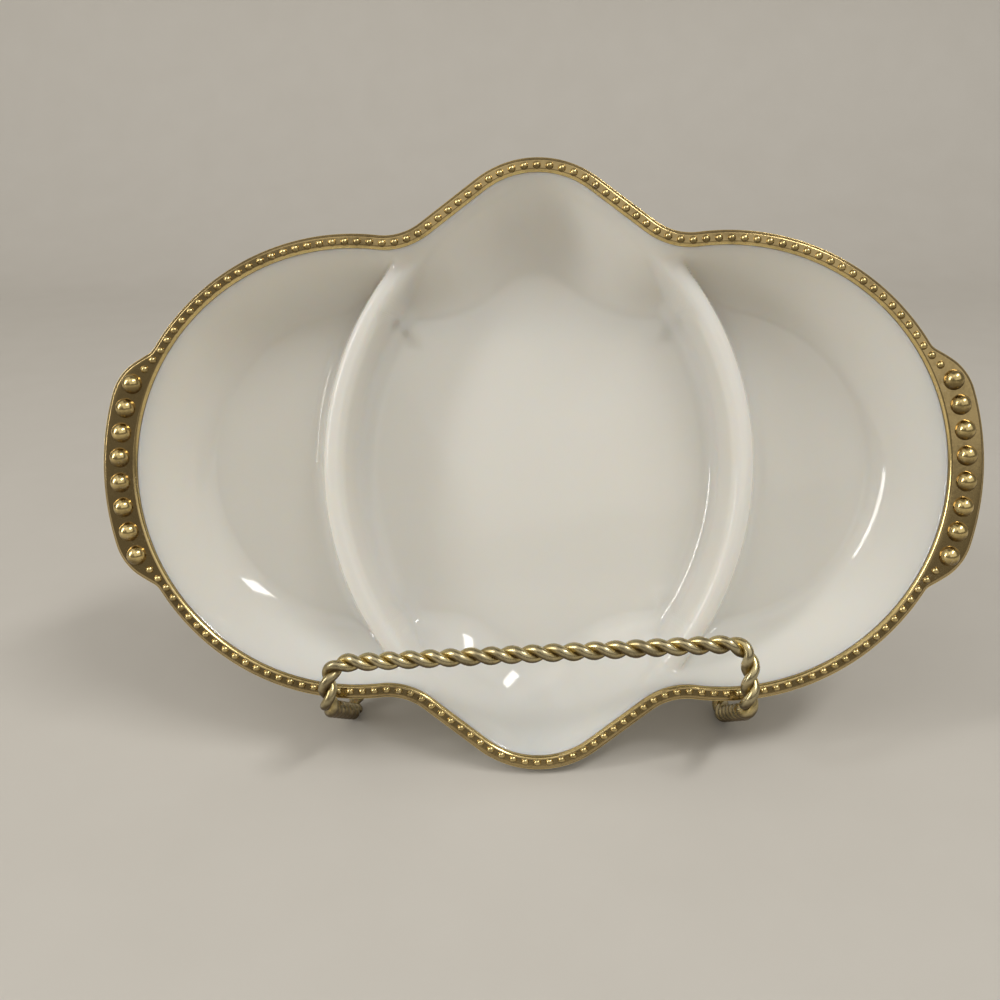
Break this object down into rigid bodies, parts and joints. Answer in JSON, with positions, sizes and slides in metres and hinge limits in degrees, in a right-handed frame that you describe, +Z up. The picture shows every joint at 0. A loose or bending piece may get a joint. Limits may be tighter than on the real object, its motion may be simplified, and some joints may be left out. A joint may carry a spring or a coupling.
{
  "type": "divided serving dish on easel",
  "caption": "Divided opal glass serving dish with a gilded beaded rim and end handles, standing in a folding easel of twisted brass wire.",
  "frame": {"origin": "on the table, under the middle of the whole part", "axes": "+Z up, the dish faces -Y and leans back towards +Y, +X to the right of someone looking at the dish"},
  "size_m": [0.2822, 0.1324, 0.188],
  "materials": {
    "opal_glass": "glossy creamy white opal",
    "gilding": "bright fired gold",
    "twisted_brass": "satin antique brass",
    "brass_fittings": "satin antique brass"
  },
  "bodies": {
    "easel_frame": {"frame_wire_pair": "twisted_brass", "top_ferrule": "brass_fittings", "hinge_rod": "brass_fittings", "left_rod_lug": "brass_fittings", "right_rod_lug": "brass_fittings"},
    "back_leg": {"leg_wire_pair": "twisted_brass", "left_leg_hinge": "brass_fittings", "right_leg_hinge": "brass_fittings"},
    "dish": {"glass_dish": "opal_glass", "gilt_rim": "gilding", "rim_beads": "gilding", "left_handle_beads": "gilding", "right_handle_beads": "gilding"}
  },
  "joints": [
    {"name": "leg_fold", "type": "hinge", "parent": "easel_frame", "child": "back_leg", "pos_m": [0, 0.02407, 0.11058], "axis": [1, 0, 0], "range_deg": [-38, 0]},
    {"name": "dish_lift", "type": "slide", "parent": "easel_frame", "child": "dish", "axis": [0, 0.3256, 0.9455], "range_m": [0, 0.15]}
  ]
}
